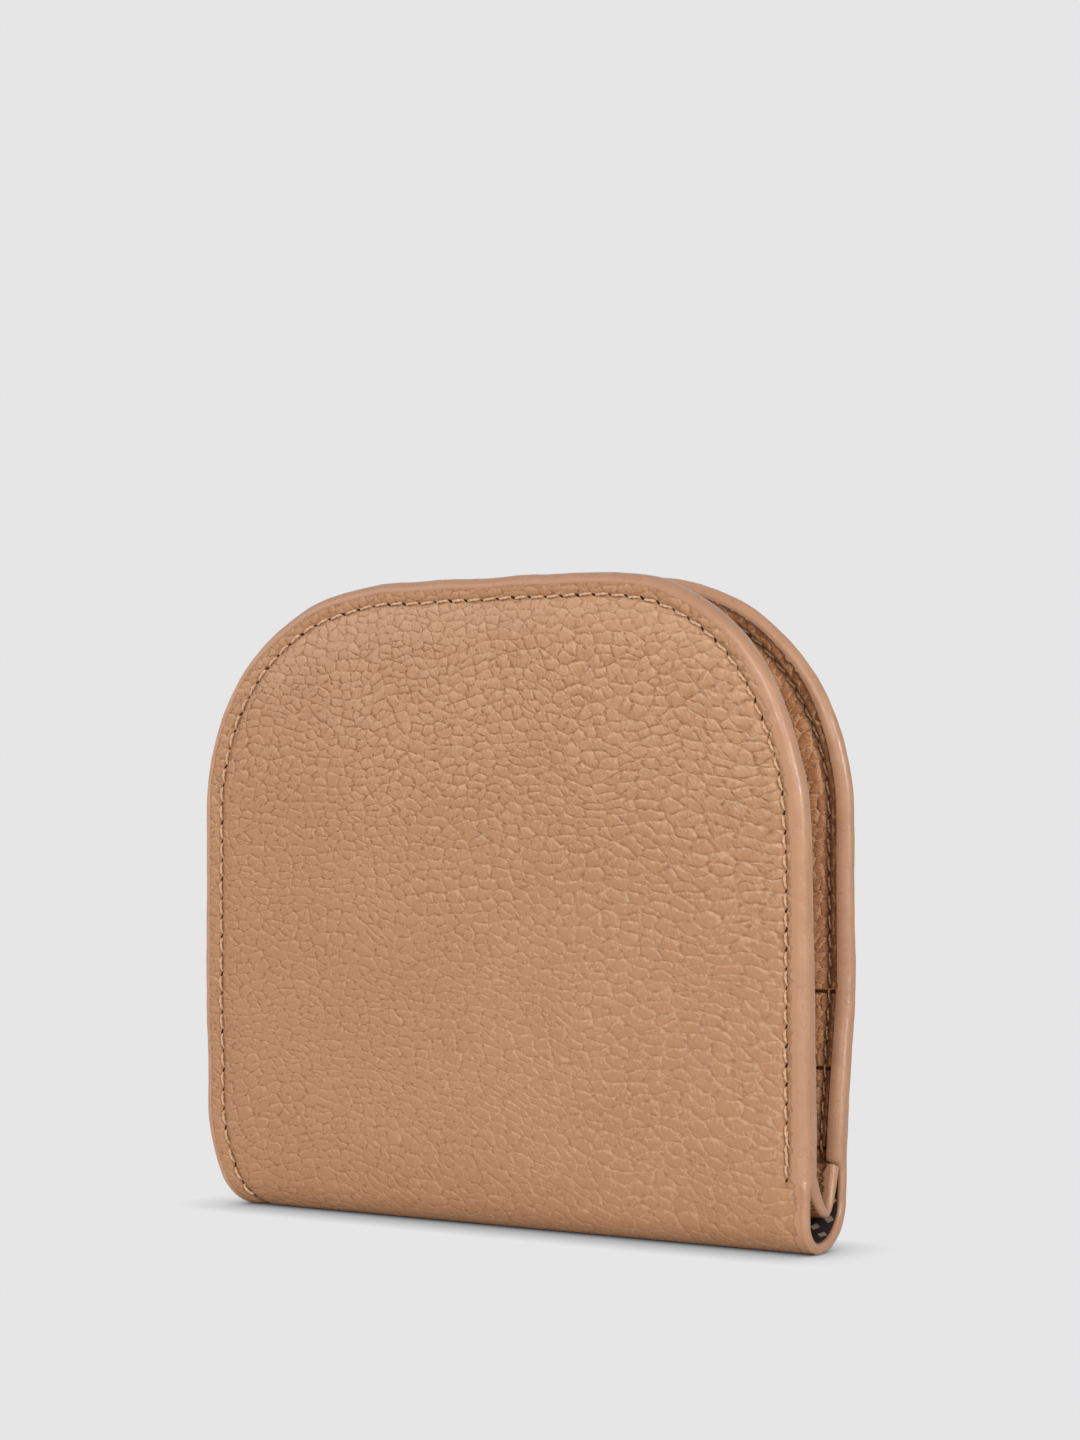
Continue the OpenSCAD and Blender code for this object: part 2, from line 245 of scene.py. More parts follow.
# Each part is a grid of points and uv in millimetres, with marks: a distance to the painted rim and one to the seam.
# On edge paint the rim mark is the share of a darker colour, painted shade along the top.
def makePiece(name, parts, material):
    points, faces, uvs, marks, start = [], [], [], {"rim": [], "seam": []}, 0
    for part in parts:
        grid = part["points"]
        rows, columns = grid.shape[:2]
        index = np.arange(rows * columns).reshape(rows, columns) + start
        if part.get("ring"):
            index = np.concatenate([index, index[:, :1]], 1)
        if part.get("loop"):
            index = np.concatenate([index, index[:1]], 0)
        quads = together(index[:-1, :-1], index[:-1, 1:], index[1:, 1:], index[1:, :-1])
        quads = quads[part["keep"]] if "keep" in part else quads.reshape(-1, 4)
        faces.append(quads[:, ::-1] if part.get("flip") else quads)
        points.append(grid.reshape(-1, 3))
        uvs.append(np.broadcast_to(part["uv"], grid.shape[:2] + (2,)).reshape(-1, 2))
        for mark, values in marks.items():
            values.append(np.broadcast_to(part.get(mark, farMark), grid.shape[:2]).reshape(-1))
        start += rows * columns
    points, faces, uvs = np.concatenate(points) * mm, np.concatenate(faces), np.concatenate(uvs) / uvUnit
    mesh = bpy.data.meshes.new(name)
    mesh.from_pydata(points.tolist(), [], faces.tolist())
    layer = mesh.uv_layers.new(name="grain")
    layer.data.foreach_set("uv", uvs[faces.reshape(-1)].astype(np.float32).reshape(-1))
    for mark, values in marks.items():
        flat = np.concatenate(values).astype(np.float32)
        mesh.attributes.new(mark, "FLOAT", "POINT").data.foreach_set("value", flat)
    mesh.polygons.foreach_set("use_smooth", np.ones(len(faces), bool))
    mesh.materials.append(material)
    mesh.update()
    return addObject(name, mesh)


def apart(count, steps, corners):  # faces of many tubes in one grid, without those from one tube to the next
    keep = np.ones((count * steps - 1, corners), bool)
    keep[steps - 1::steps] = False
    return keep


# Tubes round many lines at once: rings of a radius that narrows at both ends.
def tubeParts(lines, normal, radius, corners, seed=0.0):
    count, steps = lines.shape[:2]
    along = np.gradient(lines, axis=1)
    along /= np.linalg.norm(along, axis=-1, keepdims=True)
    aside = np.cross(along, normal)
    aside /= np.linalg.norm(aside, axis=-1, keepdims=True)
    above = np.cross(aside, along)
    taper = np.minimum(1, 0.25 + 6 * np.minimum(np.linspace(0, 1, steps), np.linspace(1, 0, steps)))
    turn = np.linspace(0, 2 * pi, corners, endpoint=False)
    ring = aside[:, :, None] * np.cos(turn)[:, None] + above[:, :, None] * np.sin(turn)[:, None]
    grid = lines[:, :, None] + ring * (radius * taper)[:, None, None]
    flow = np.linspace(0, 3, steps)[None, :, None] + np.arange(count)[:, None, None] * 7.3 + seed
    uv = together(flow, np.linspace(0, 2, corners))
    return {"points": grid.reshape(count * steps, corners, 3), "uv": uv.reshape(count * steps, corners, 2),
            "ring": True, "keep": apart(count, steps, corners)}


# Running stitches on a path: two strands twisted round each other, sinking at both ends into needle holes.
def sewPath(x, run, s, depthAt, side, stitch):
    count = int((s[-1] - s[0] - stitch["start"] - stitch["stop"]) / stitch["pitch"] / (1 + stitch["grow"]))
    t = np.linspace(0, 1, stitch["steps"])
    order = np.arange(count + 1)
    holeS = s[0] + stitch["start"] + stitch["pitch"] * order * (1 + stitch["grow"] * order / count)
    begin = holeS[:-1]
    at = begin[:, None] + stitch["gap"] / 2 + (np.diff(holeS)[:, None] - stitch["gap"]) * t
    path = x, run, *outward(x, run)
    px, pr, ax, ar = [np.interp(at, s, values) for values in path]
    slant = stitch["slant"] * (t - 0.5) * 2 + 0.06 * np.sin(begin * 2.7)[:, None] + stitch["aside"]
    rise = stitch["rise"] * np.sqrt(np.maximum(np.sin(pi * t), 0)) - stitch["sink"]
    strands = []
    facing = together(0 * px, *rail(pr, side)[2:]) * stitch["face"]
    for turn in (0, pi):
        twist = turn + t * stitch["turns"] * 2 * pi + begin[:, None] * 3.1
        off = slant + stitch["ply"] * np.cos(twist)
        up = rise + stitch["ply"] * np.sin(twist)
        qx, qr = px + ax * off, pr + ar * off
        strands.append(tubeParts(place(qx, qr, depthAt(qx, qr) - stitch["face"] * up, side), facing,
                                 stitch["radius"], stitch["corners"], turn))
    hx, hr, ax, ar = [np.interp(holeS, s, values)[:, None, None] for values in path]
    ring = np.linspace(0, 2 * pi, 10, endpoint=False)
    reach = np.array([0.02, 0.7, 1.0])[:, None]
    size = (1 + 0.25 * np.sin(holeS * 5.3))[:, None, None] * reach
    across, along = stitch["hole"][0] * size * np.sin(ring), stitch["hole"][1] * size * np.cos(ring)
    across = across + 0.4 * along + stitch["aside"]
    ox, orr = hx + ax * across - ar * along, hr + ar * across + ax * along
    lift = np.array([0.06, 0.05, -0.03])[:, None] * stitch["face"]
    disc = place(ox, orr, depthAt(ox, orr) - lift, side)
    hole = {"points": disc.reshape(-1, *disc.shape[2:]), "uv": np.zeros(2), "ring": True,
            "keep": apart(*disc.shape[:3]), "flip": side["sign"] * stitch["face"] < 0}
    return strands, hole


# Materials. wire sets a node's inputs, by number or name, to a value or to another node's output.
def wire(node, feeds):
    for key, value in feeds.items():
        if isinstance(value, bpy.types.NodeSocket):
            node.id_data.links.new(value, node.inputs[key])
        else:
            node.inputs[key].default_value = value


def addNode(kind, feeds, **settings):  # it joins the tree of the outputs that feed it
    tree = next(value.id_data for value in feeds.values() if isinstance(value, bpy.types.NodeSocket))
    node = tree.nodes.new("ShaderNode" + kind)
    for key, value in settings.items():
        setattr(node, key, value)
    wire(node, feeds)
    return node


def calc(operation, *values):  # one step of arithmetic
    return addNode("Math", dict(enumerate(values)), operation=operation).outputs[0]


times, plus, minus, timesPlus = (partial(calc, kind) for kind in ("MULTIPLY", "ADD", "SUBTRACT", "MULTIPLY_ADD"))


def fit(value, low, high, newLow=0.0, newHigh=1.0, kind="SMOOTHSTEP"):  # maps low and high to newLow and newHigh
    feeds = dict(enumerate((value, low, high, newLow, newHigh)))
    return addNode("MapRange", feeds, interpolation_type=kind).outputs[0]


ramp = partial(fit, kind="LINEAR")


def between(share, low, high):  # low at a share of 0 and high at 1
    return fit(share, 0.0, 1.0, low, high)


def mix(amount, a, b):  # colour a at 0 and b at 1
    return addNode("Mix", {0: amount, 6: a, 7: b}, data_type="RGBA").outputs[2]


def noise(vector, scale, detail=2.0, rough=0.5):  # cloudy, 0 to 1
    feeds = {"Vector": vector, "Scale": scale, "Detail": detail, "Roughness": rough}
    return addNode("TexNoise", feeds, noise_dimensions="2D").outputs


def cells(vector, scale, feature="F1", scatter=1.0):  # a net round scattered points
    feeds = {"Vector": vector, "Scale": scale, "Randomness": scatter}
    return addNode("TexVoronoi", feeds, voronoi_dimensions="2D", feature=feature).outputs


def vectorCalc(operation, a, b):  # the same for each axis
    return addNode("VectorMath", {0: a, 3 if operation == "SCALE" else 1: b}, operation=operation).outputs[0]


def axes(vector):  # its x, y and z
    return addNode("SeparateXYZ", {0: vector}).outputs


def bump(height, strength, distance, shader):  # the shading follows the slope of the height
    node = addNode("Bump", {"Height": height, "Strength": strength, "Distance": distance})
    wire(shader, {"Normal": node.outputs[0]})


def newMaterial(name, build, *settings):  # build fills in its main shader
    material = bpy.data.materials.new(name)
    material.use_nodes = True
    build(material.node_tree, material.node_tree.nodes["Principled BSDF"], *settings)
    return material


def dress(shader, colour, rough, specular=0.5):  # what every material sets
    wire(shader, {"Base Color": colour, "Roughness": rough, "Specular IOR Level": specular})


def markValue(tree, name):  # a value that makePiece stored at each point
    node = tree.nodes.new("ShaderNodeAttribute")
    node.attribute_name = name
    return node.outputs["Fac"]


def grainPlace(tree):  # the piece's own uv, back in millimetres
    uv = tree.nodes.new("ShaderNodeUVMap")
    uv.uv_map = "grain"
    return vectorCalc("SCALE", uv.outputs[0], uvUnit)


pebble = {"scale": 0.62, "scatter": 0.88, "page": 200.0, "middle": 60.0, "slant": 0.22, "step": 0.13}


def page(number):  # uv shift that gives a piece a page of the grain of its own
    return pebble["middle"] + pebble["page"] * number


# Pebbled grain: one net of slanting cells, wider than tall, coarser to the right and lower down. Height is a soft
# pillow in each cell with wrinkles and grit. Rim is a mask of painted light and shade: the fall of a steeper pillow
# over a short step up and right, so upper right edges are positive (painted highlight) and lower left ones negative
# (painted shade), plus a tilt of the whole cell that paints its top lighter and its bottom darker. Streak is fibres,
# small facets and hair lines by the creases. Pit is where a crease meets a dot. Upper grows upwards, and Flat to the
# right.
def buildPebbleGrain():
    tree = bpy.data.node_groups.new("pebbleGrain", "ShaderNodeTree")
    tree.interface.new_socket("Place", in_out="INPUT", socket_type="NodeSocketVector")
    for name in ("Height", "Rim", "Streak", "Crease", "Pit", "Tone", "Upper", "Flat"):
        tree.interface.new_socket(name, in_out="OUTPUT", socket_type="NodeSocketFloat")
    into = tree.nodes.new("NodeGroupInput").outputs["Place"]

    def onPage(u):  # millimetres from the middle of the piece's own page of the uv
        return minus(calc("FLOORED_MODULO", u, pebble["page"]), pebble["middle"])

    spot = axes(into)
    patch, local = noise(into, 0.06)[0], onPage(spot[0])
    upper = fit(timesPlus(local, 0.2, timesPlus(patch, 24.0, spot[1])), 36.0, 106.0)
    flat = fit(timesPlus(patch, 30.0, local), -25.0, 45.0)
    sway, shake = (vectorCalc("SUBTRACT", noise(into, scale, 1.0)["Color"], (0.5, 0.5, 0.5)) for scale in (0.05, 0.42))
    bent = vectorCalc("ADD", into, vectorCalc("MULTIPLY", sway, (2.0, 4.5, 0.0)))
    bent = vectorCalc("ADD", bent, vectorCalc("SCALE", shake, 0.7))
    turned = axes(bent)
    local = onPage(turned[0])
    rest = calc("MAXIMUM", plus(local, 2.0), 0.0)
    fine = minus(times(local, 1.22), times(times(rest, rest), 0.0045))
    tall = times(minus(turned[1], 50.0), ramp(local, -20.0, 51.0, 1.26, 0.98))
    narrow = fit(turned[1], 52.0, 100.0, 0.52, 0.74)
    level = timesPlus(timesPlus(tall, pebble["slant"], fine), narrow, minus(turned[0], local))
    net = addNode("CombineXYZ", {0: level, 1: tall}).outputs[0]

    def edgeAt(step):  # distance to the nearest crease, a step up and right
        moved = vectorCalc("ADD", net, (step * 0.7, step * 0.8, 0.0))
        return cells(moved, pebble["scale"], "DISTANCE_TO_EDGE", pebble["scatter"])["Distance"]

    def pillowAt(step):  # 1 less the square of the nearness to the crease
        slope = minus(1.0, ramp(edgeAt(step), 0.0, 0.26))
        return minus(1.0, times(slope, slope))

    edge = edgeAt(0.0)
    # painted light and shade: the upper right edge of each cell lighter, the lower left edge darker
    rim = minus(pillowAt(-pebble["step"]), pillowAt(pebble["step"]))
    broken = fit(noise(into, 0.55)[0], 0.36, 0.62, 0.22, 1.0)
    centre = cells(net, pebble["scale"], "F1", pebble["scatter"])["Position"]
    away = axes(vectorCalc("SUBTRACT", net, centre))
    # painted light and shade: each cell lighter at its top and darker at its bottom
    tilt = times(timesPlus(away[0], 0.3, away[1]), between(upper, 0.16, 0.42))
    small = cells(bent, 1.5, "DISTANCE_TO_EDGE")["Distance"]
    wrinkle = times(fit(small, 0.0, 0.2), fit(edge, 0.0, 0.34, 1.0, 0.3))
    grit = noise(into, 2.6, 3.0, 0.6)[0]
    fibre = noise(vectorCalc("MULTIPLY", net, (4.2, 1.3, 1.0)), 1.0, 2.0, 0.6)[0]
    plane = times(minus(cells(bent, 1.15)["Color"], 0.5), between(upper, 0.12, 0.5))
    streak = times(minus(fibre, 0.5), fit(edge, 0.0, 0.45, 2.6, 1.0))
    hair = times(fit(small, 0.0, 0.09, 0.42, 0.0), fit(edge, 0.05, 0.40, 1.0, 0.1))
    streak = plus(plus(streak, plane), hair)
    soft = minus(1.0, ramp(edge, 0.0, 0.42))
    soft = minus(1.0, times(times(soft, soft), broken))
    height = times(soft, plus(between(upper, 0.14, 0.42), between(flat, 0.12, 0.0)))
    height = timesPlus(wrinkle, between(upper, 0.12, 0.22), timesPlus(streak, 0.18, height))
    dot = cells(net, 1.15)["Distance"]
    pit = times(fit(edge, 0.02, 0.16, 1.0, 0.0), fit(dot, 0.12, 0.46, 1.0, 0.0))
    wire(tree.nodes.new("NodeGroupOutput"),
         {"Height": timesPlus(grit, 0.14, height), "Rim": timesPlus(rim, broken, tilt), "Streak": streak,
          "Crease": fit(edge, 0.0, 0.06, 1.0, 0.0), "Pit": pit, "Tone": patch, "Upper": upper, "Flat": flat})
    return tree


# Pairs are strengths low down and high up, but groove is width and strength of painted shade along the seam, and
# top the strengths of painted shade on a dark border and of painted light on a light brow under the seam.
leatherLook = {"base": (0.492, 0.261, 0.136, 1), "deep": (0.472, 0.247, 0.127, 1), "light": (0.700, 0.440, 0.280, 1),
               "crease": (0.350, 0.160, 0.066, 1), "pit": (0.250, 0.100, 0.036, 1), "paint": (0.515, 0.275, 0.155, 1),
               "paintedBrinkShade": (0.300, 0.155, 0.105, 1), "depth": 0.00030, "paintedEdgeLight": (0.60, 0.70), "shade": (0.30, 0.52),
               "pale": (0.38, 0.0), "dark": (0.0, 0.18), "paintedCrownSheen": 0.24, "wide": 0.28, "brinkShadeAmount": 0.55,
               "groove": (0.55, 0.50), "top": (0.32, 0.24)}
# The inside leather is a darker, more saturated copy of the outer one: painted shade of the gap between the covers,
# with darker creases and a wider, darker brink and seam band of painted shade.
insideLook = dict(leatherLook, base=(0.488, 0.204, 0.081, 1), deep=(0.446, 0.181, 0.070, 1),
                  light=(0.80, 0.445, 0.225, 1), crease=(0.13, 0.050, 0.020, 1), pit=(0.08, 0.03, 0.013, 1),
                  paintedBrinkShade=(0.10, 0.04, 0.018, 1), wide=1.2, brinkShadeAmount=0.9, groove=(0.85, 0.92), top=(0.0, 0.0),
                  paintedEdgeLight=(0.62, 0.72), shade=(0.26, 0.32), pale=(1.0, 1.0), dark=(0.0, 0.0), paintedCrownSheen=0.0, depth=0.00036)


# The grain's masks lay light, crease and pit colours over the base, mostly painted light and shade. The rim has
# ragged paint with a dark brink of painted shade inside it.
def buildLeather(tree, shader, grain, look):
    spot = grainPlace(tree)
    out = addNode("Group", {0: spot}, node_tree=grain).outputs
    height, crease, upper, flat = (out[key] for key in ("Height", "Crease", "Upper", "Flat"))
    edge, run = plus(out["Rim"], out["Streak"]), axes(spot)[1]
    # painted highlight along the upper right edges of the cells; the next line paints shade along their lower left
    # edges
    paintedEdgeLight = times(ramp(edge, 0.06, 0.9), between(upper, *look["paintedEdgeLight"]))
    shade = times(ramp(edge, -0.9, -0.02, 1.0, 0.0), between(upper, *look["shade"]))
    # painted sheen: the crowns of the cells paler high up
    paintedCrownSheen = times(fit(height, 0.35, 0.72), fit(upper, 0.4, 1.0, 0.0, look["paintedCrownSheen"]))
    pit = plus(between(upper, 0.46, 0.60), between(flat, 0.10, 0.0))
    (wide, strength), (border, paintedBrowLight) = look["groove"], look["top"]
    rim = markValue(tree, "rim")
    reach = timesPlus(noise(spot, 0.9, 3.0)[0], 1.7, rim)
    paint = fit(reach, 2.42, 2.60, 1.0, 0.0)
    # painted shade: a dark brink just inside the paint's ragged edge
    paintedBrinkShade = times(fit(reach, 2.32, 2.50), fit(reach, 2.50, 2.50 + look["wide"], 1.0, 0.0))
    # painted light: a band just inside the seam, lighter near the top
    paintedBrowLight = times(fit(rim, 3.0, 3.6), fit(rim, 4.5, 11.0, paintedBrowLight, 0.0))
    layers = [(times(paintedEdgeLight, between(flat, 0.78, 1.0)), "light"), (times(shade, between(flat, 1.15, 1.0)), "crease"),
              # pale lines along the creases are painted glints
              (paintedCrownSheen, "light"), (times(times(crease, fit(upper, 0.1, 0.6, *look["pale"])), flat), "light"),
              (times(crease, fit(upper, 0.4, 1.0, *look["dark"])), "crease"), (times(out["Pit"], pit), "pit"),
              # painted shade: darker towards the fold
              (fit(run, 2.0, 20.0, 0.30, 0.0), "crease"),
              # painted shade along the seam groove, in the pit colour
              (fit(markValue(tree, "seam"), 0.12, wide, strength, 0.0), "pit"),
              (paint, "paint"), (times(paintedBrinkShade, look["brinkShadeAmount"]), "paintedBrinkShade"),
              # painted shade on the border outside the seam and painted light on the brow inside it, near the top
              (times(fit(run, 82.0, 92.0), fit(rim, 2.5, 3.3, border, 0.0)), "crease"),
              (times(fit(run, 76.0, 90.0), paintedBrowLight), "light")]
    colour = mix(fit(out["Tone"], 0.3, 0.7), look["deep"], look["base"])
    for amount, key in layers:
        colour = mix(amount, colour, look[key])
    gloss = minus(fit(height, 0.1, 0.9, 0.62, 0.50), times(paint, 0.10))
    dress(shader, colour, gloss, 0.25)
    calm = times(fit(rim, 2.6, 4.6, 0.45, 1.0), between(paint, 1.0, 0.15))
    bump(timesPlus(paint, 0.22, times(height, calm)), 1.0, look["depth"], shader)


def buildPaint(tree, shader, colour, dark, paintedTopShade):  # cloudy paint, nearer to a darker colour of painted shade along the top where the mark says so
    spot = grainPlace(tree)
    tint = mix(fit(noise(spot, 0.25, 3.0)[0], 0.3, 0.7), dark, colour)
    tint = mix(times(markValue(tree, "rim"), 0.6), tint, paintedTopShade)
    dress(shader, tint, fit(noise(spot, 0.6)[0], 0.3, 0.7, 0.27, 0.37))
    bump(noise(spot, 0.8, 3.0)[0], 0.6, 0.0001, shader)


def buildThread(tree, shader, colour, dark):  # fibres along the strand, smoother where light
    fibre = noise(vectorCalc("MULTIPLY", grainPlace(tree), (2.0, 9.0, 1.0)), 1.0)[0]
    dress(shader, mix(fit(fibre, 0.3, 0.7), dark, colour), fit(fibre, 0.3, 0.7, 0.52, 0.36))
    bump(fibre, 0.6, 0.00005, shader)


def buildHole(tree, shader):  # nearly black brown: painted shade inside the needle holes and pocket openings
    cloud = noise(grainPlace(tree), 0.9, 1.0)[0]
    dress(shader, mix(cloud, (0.040, 0.012, 0.005, 1), (0.085, 0.030, 0.012, 1)), 0.9, 0.0)


weavePitch = 0.5


# Woven cloth: two crossing waves, with an even print of small pale diamonds where asked.
def buildCloth(tree, shader, colour, light, printed):
    spot = grainPlace(tree)
    across, along = (calc("SINE", times(axes(spot)[k], 2 * pi / weavePitch)) for k in (0, 1))
    weave = timesPlus(times(across, along), 0.5, 0.5)
    shade = mix(between(weave, 0.0, 0.35), colour, light)
    if printed:
        turned = addNode("Mapping", {0: spot, "Rotation": (0, 0, math.radians(45)), "Scale": (0.42, 0.42, 1)})
        cell = axes(vectorCalc("FRACTION", turned.outputs[0], (0, 0, 0)))
        fromX, fromY = (calc("ABSOLUTE", minus(cell[k], 0.5)) for k in (0, 1))
        mark = fit(calc("MAXIMUM", fromX, fromY), 0.20, 0.24, 1.0, 0.0)
        shade = mix(times(mark, 0.85), shade, (0.46, 0.35, 0.25, 1))
    dress(shader, shade, 0.82)
    bump(weave, 0.5, 0.00008, shader)


def buildBoard(tree, shader):  # matted fibres
    fibre = noise(grainPlace(tree), 1.5, 4.0, 0.65)[0]
    dress(shader, mix(fibre, (0.25, 0.22, 0.18, 1), (0.46, 0.42, 0.36, 1)), 0.85)
    bump(fibre, 0.4, 0.0001, shader)


def buildMetal(tree, shader):  # pale gold, brushed unevenly
    spot = tree.nodes.new("ShaderNodeTexCoord").outputs["Object"]
    tint = mix(noise(spot, 400.0, 3.0)[0], (0.70, 0.51, 0.28, 1), (0.86, 0.68, 0.42, 1))
    dress(shader, tint, fit(noise(spot, 2500.0)[0], 0.3, 0.7, 0.22, 0.36))
    wire(shader, {"Metallic": 1.0})


def buildTape(tree, shader):  # slanting ribs
    spot = axes(vectorCalc("SCALE", tree.nodes.new("ShaderNodeTexCoord").outputs["Object"], 1000.0))
    slope = plus(spot[0], times(spot[2], 0.7))
    rib = timesPlus(calc("SINE", times(slope, 12.0)), 0.5, 0.5)
    dress(shader, mix(rib, (0.155, 0.080, 0.040, 1), (0.290, 0.160, 0.085, 1)), 0.8)
    bump(rib, 0.6, 0.0001, shader)


pebbleGrain = buildPebbleGrain()
leather = newMaterial("tanLeather", buildLeather, pebbleGrain, leatherLook)
insideLeather = newMaterial("insideLeather", buildLeather, pebbleGrain, insideLook)
# the last colour is painted shade for the top of the edge paint
edgePaint = newMaterial("edgePaint", buildPaint, (0.560, 0.300, 0.172, 1), (0.510, 0.268, 0.148, 1),
                        (0.430, 0.222, 0.125, 1))
thread = newMaterial("goldenThread", buildThread, (0.82, 0.54, 0.33, 1), (0.60, 0.36, 0.20, 1))
# the inner thread is a darker copy of the golden thread: painted shade of the same thread inside the wallet
shadedInnerThread = newMaterial("shadedInnerThread", buildThread, (0.52, 0.29, 0.14, 1), (0.13, 0.062, 0.026, 1))
needleHole = newMaterial("needleHole", buildHole)
lining = newMaterial("darkLining", buildCloth, (0.022, 0.013, 0.011, 1), (0.060, 0.038, 0.030, 1), True)
plainCloth = newMaterial("plainCloth", buildCloth, (0.050, 0.030, 0.022, 1), (0.105, 0.065, 0.048, 1), False)
board = newMaterial("bondedBoard", buildBoard)
metal = newMaterial("paleGold", buildMetal)
zipTape = newMaterial("zipTape", buildTape)
print("materials made")

# Outer leather of each cover, from under the fold to the arch.
cover = {"rows": 190, "columns": 232, "inset": 0.9}
for side in (front, rear):
    x, run = coverGrid(side, cover["inset"], None, None, cover["rows"], cover["columns"])
    d, z = rimDistance(x, run, side), rail(run, side)[1]
    seam = np.where((x > 0) & (z < side["slit"] - 0.2), farMark, np.abs(d - seamInset))
    rim = d + 0.5 * openEnd(x, z, side) - 0.7 * ease(x, 38, 46) * (1 - ease(z, 62, 82))  # more paint at the right
    rim = rim + 0.25 * ease(z, 78, 86) + 0.7 * ease(-x, 36, 46)  # and less along the top and at the left
    part = {"points": place(x, run, -coverRelief(x, run, side), side), "flip": side["sign"] > 0, "seam": seam,
            "rim": rim, "uv": together(x + page(side["sign"] > 0), run)}
    obj = makePiece("coverLeather" + side["name"], [part], leather)
    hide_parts("shell_" + side["name"].lower(), "shell_fold")
    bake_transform(obj)
print("outer leather made")

# Painted edges: the section runs from the outer face round the edge to the inner face.
# Below the slit at the open end it thins to the outer leather alone.
paintLook = {"build": 0.06, "wander": 0.06, "steps": 11}
for side in (front, rear):
    x, run, s = outlinePath(0.0, side, 0.0, 0.0, 0.4)
    z = rail(run, side)[1]
    thick = rimThick(z, side) - 1.2 * np.where(x < 0, 1 - ease(z, 0, 14), 0)
    thick = thick + (wallet["shell"] - thick) * openEnd(x, z, side)
    r, plain = edgeRadius(x, z, side)[:, None], openEnd(x, z, side)[:, None]
    reach, fall = rollReach(z, side)[:, None] * (1 - plain) + 0.7 * plain, 1.0 - 0.3 * plain
    turn = np.linspace(0, pi / 2, paintLook["steps"])
    layer = paintLook["build"] * np.minimum(1, 3 * turn)
    arc, drop = r * (1 - np.sin(turn)), r * (1 - np.cos(turn)) - layer
    roll, dip = reach * (1 - np.sin(turn)), fall * (1 - np.cos(turn)) - layer
    d = np.concatenate([np.maximum(r, 1.0) + 0.15, arc, roll[:, ::-1], np.maximum(reach, 1.0) + 0.15], 1)
    depth = np.concatenate([0 * r + 0.05, drop, thick[:, None] - dip[:, ::-1], thick[:, None] - 0.05], 1)
    uneven = paintLook["wander"] * hum(s, 2.0 + side["sign"])[:, None]
    d = d - (paintLook["build"] + uneven) * (1 - ease(d, 0.3, 1.0))
    nx, nr = outward(x, run)
    # painted shade: the front's edge paint darker along the top
    top = ease(z, 76, 88)[:, None] * (side["sign"] < 0)
    part = {"points": place(x[:, None] - d * nx[:, None], run[:, None] - d * nr[:, None], depth, side), "rim": top,
            "uv": together(s[:, None], depth * 3 + 40), "flip": side["sign"] > 0}
    obj = makePiece("edgePaint" + side["name"], [part], edgePaint)
    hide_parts("edge_coat_" + side["name"].lower())
    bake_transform(obj)
print("painted edges made")

# Sewing thread on the outer faces.
stitch = {"pitch": 2.5, "grow": 0.075, "gap": 0.56, "start": 0.6, "stop": 0.5, "steps": 7, "corners": 5,
          "slant": -0.12, "aside": 0.0, "rise": 0.50, "sink": 0.10, "turns": 1.4, "ply": 0.095, "radius": 0.130,
          "hole": (0.20, 0.42), "face": 1.0}
for side in (front, rear):
    x, run, s = outlinePath(seamInset, side, runAt(side["slit"] + 0.4, side), 3.6)
    outer = lambda px, pr: -coverRelief(px, pr, side)
    strands, hole = sewPath(x, run, s, outer, side, stitch)
    tack = dict(stitch, aside=0.24, start=2.0)
    short = s < 9.5
    again, _ = sewPath(x[short], run[short], s[short], outer, side, tack)
    obj = makePiece("seamThread" + side["name"], strands + again, thread)
    holes = makePiece("needleHoles" + side["name"], [hole], needleHole)
    for piece in (obj, holes):
        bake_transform(piece)
print("outer seams sewn")

# Inner leather of the front cover with the window for the zip.
zipWindow = {"z": 20.4, "straight": 36.5, "halfZ": 4.0, "level": 3.6, "seam": 5.8}


def windowDistance(x, z):  # distance outside the zip window, which has round ends
    past = np.maximum(np.abs(x) - zipWindow["straight"], 0)
    return np.hypot(past, z - zipWindow["z"]) - zipWindow["halfZ"]


# Inner face: from the thickness of the rim to a level, with a swell, a groove at the seam, a slow wave and a round rim.
def innerDepth(x, run, side, level):
    d = rimDistance(x, run, side)
    z = rail(run, side)[1]
    thick = rimThick(z, side)
    sewn = ease(z, side["slit"] - 1, side["slit"] + 2)
    groove = 0.30 * hill(d, seamInset, 0.6) * sewn
    puff = 0.20 * (1 - np.exp(-np.maximum(d - seamInset, 0) / 5))
    wave = 0.10 * np.sin(x * 0.11 + 0.4) * np.sin(z * 0.09 + 0.8) * ease(d, 3, 9)
    dip = 1 - np.sqrt(1 - np.maximum(1 - d / rollReach(z, side), 0) ** 2)
    edge = thick + 0.35 * (level - side["inner"])
    return edge + (level - edge) * ease(d, 2.4, 9) + puff - groove + wave - dip


def frontInner(x, run):  # the front's inner face, raised a little round the window
    near = windowDistance(x, rail(run, front)[1])
    return innerDepth(x, run, front, zipWindow["level"]) + 0.10 * hill(near, 0, 1.5)


